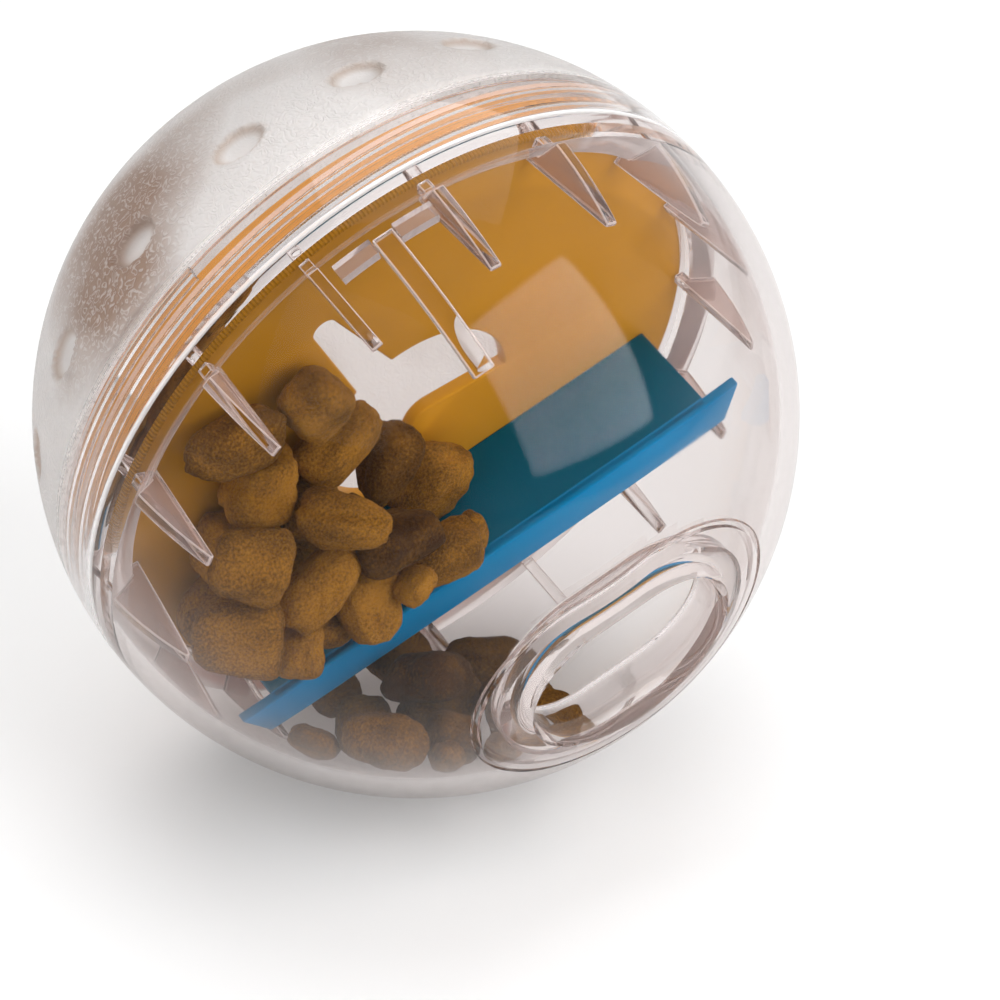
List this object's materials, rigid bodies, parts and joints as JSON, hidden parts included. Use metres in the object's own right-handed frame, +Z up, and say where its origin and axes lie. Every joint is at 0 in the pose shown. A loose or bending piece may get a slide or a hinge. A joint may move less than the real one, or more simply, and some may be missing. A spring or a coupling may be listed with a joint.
{
  "type": "treat ball",
  "caption": "Clear ball in two screwed halves, one grained and dented for grip, around an amber level disc with a blue divider; kibble drops through a flared oblong outlet.",
  "frame": {"origin": "centre of the ball", "axes": "+Z up with the ball lying on the floor; -Y towards the outlet, which tips down by 18 degrees; +X along the seam plane"},
  "size_m": [0.1, 0.1, 0.1],
  "materials": {
    "clear_smooth": "clear, polished",
    "clear_grained": "clear, fine leather grain outside",
    "amber": "translucent, glossy",
    "blue": "glossy",
    "kibble": "dry, pitted"
  },
  "bodies": {
    "outlet_shell": {"outlet_half": "clear_smooth", "kibble_lower": "kibble"},
    "insert": {"level_disc": "amber", "divider": "blue", "kibble_upper": "kibble"},
    "grip_shell": {"grip_half": "clear_grained"}
  },
  "joints": [
    {"name": "insert_lift", "type": "slide", "parent": "outlet_shell", "child": "insert", "axis": [0, 0.9511, 0.309], "range_m": [0, 0.006]},
    {"name": "grip_turn", "type": "hinge", "parent": "insert", "child": "grip_shell", "pos_m": [0, 0, 0], "axis": [0, 0.9511, 0.309], "range_deg": [0, 360]}
  ],
  "couplings": [
    {"joint": "insert_lift", "follows": "grip_turn", "m_per_rad": 0.00095493}
  ]
}
